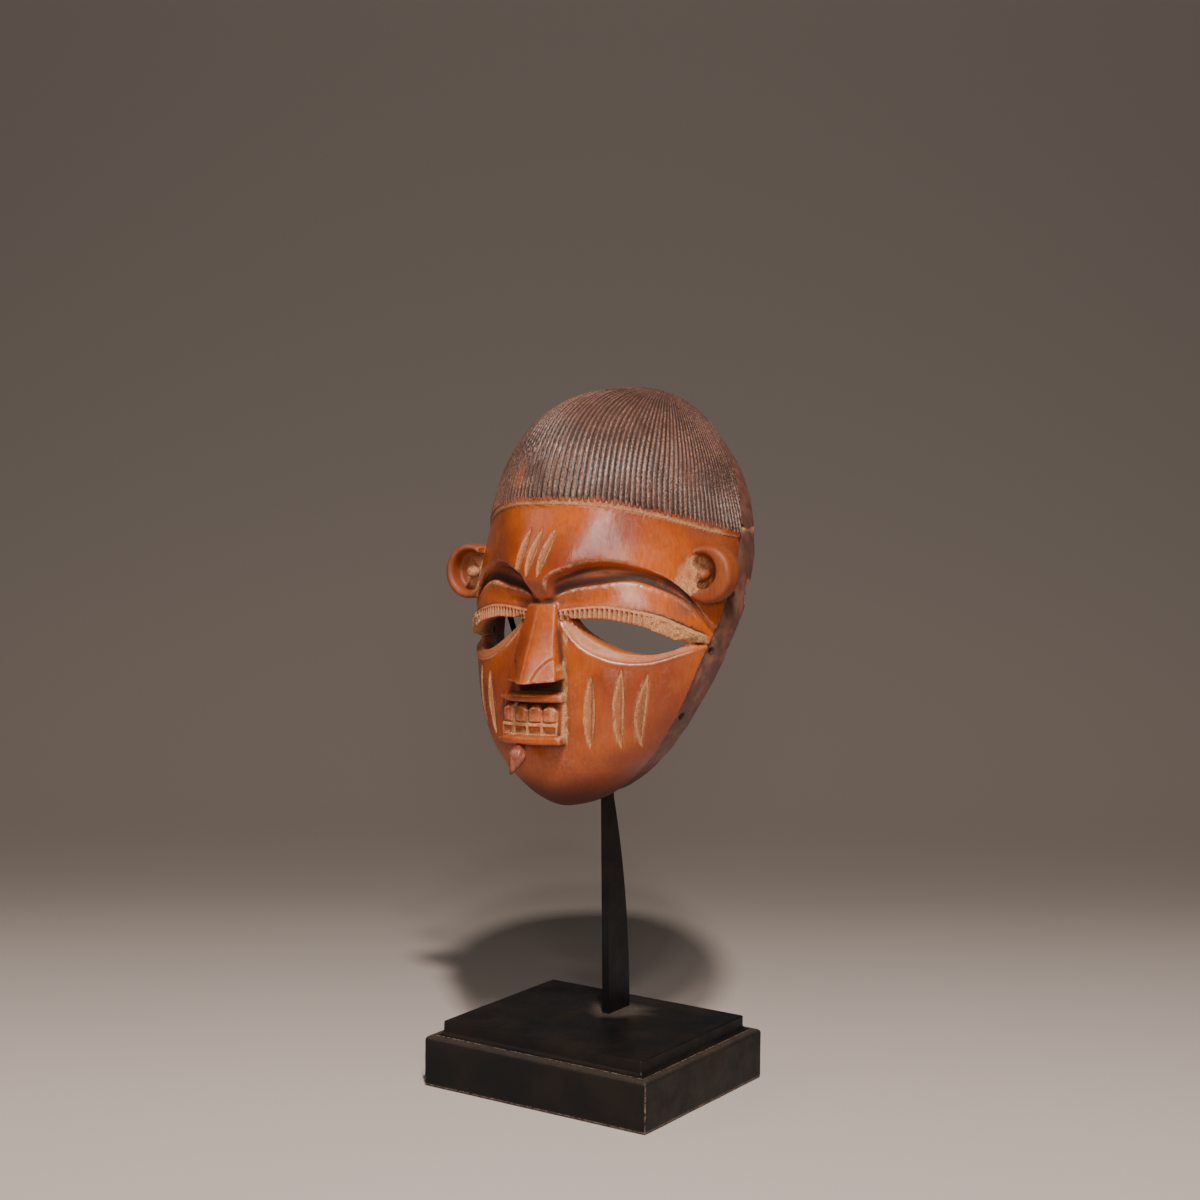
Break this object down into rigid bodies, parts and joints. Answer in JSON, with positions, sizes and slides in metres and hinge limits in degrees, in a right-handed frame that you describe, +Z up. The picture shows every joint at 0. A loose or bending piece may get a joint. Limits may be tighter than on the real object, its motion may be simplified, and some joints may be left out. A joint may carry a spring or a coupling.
{
  "type": "carved wooden face mask on a stand",
  "caption": "Carved wooden face mask with grooved hair, cut eye openings and a chin peg, hung by two sleeved steel claws from a tapered post on a stepped black plinth.",
  "frame": {"origin": "centre of the plinth's underside, on the surface that it stands on", "axes": "+Z up, -Y the way the face looks, +X the wearer's left"},
  "size_m": [0.229, 0.1874, 0.4778],
  "materials": {
    "black_paint": "satin black paint, worn pale at the corners",
    "felt": "thin felt",
    "zinc_steel": "zinc plated",
    "black_steel": "matt black",
    "pad_felt": "thin felt",
    "sleeve": "shrink tube, slightly glossy",
    "carved_wood": "worn glossy orange-brown patina",
    "peg_wood": "worn red-brown wood"
  },
  "bodies": {
    "stand": {"plinth_slab": "black_paint", "plinth_tier": "black_paint", "felt_sheet": "felt", "plinth_screws": "zinc_steel", "post": "black_steel", "post_washer": "zinc_steel", "post_nut": "zinc_steel", "post_pad": "pad_felt", "claw_left": "black_steel", "claw_right": "black_steel", "claw_sleeve_left": "sleeve", "claw_sleeve_right": "sleeve"},
    "mask": {"mask": "carved_wood", "chin_peg": "peg_wood"}
  },
  "joints": [
    {"name": "mask_tilt", "type": "hinge", "parent": "stand", "child": "mask", "pos_m": [0, 0.0115, 0.3485], "axis": [-1, 0, 0], "range_deg": [0, 20]}
  ]
}
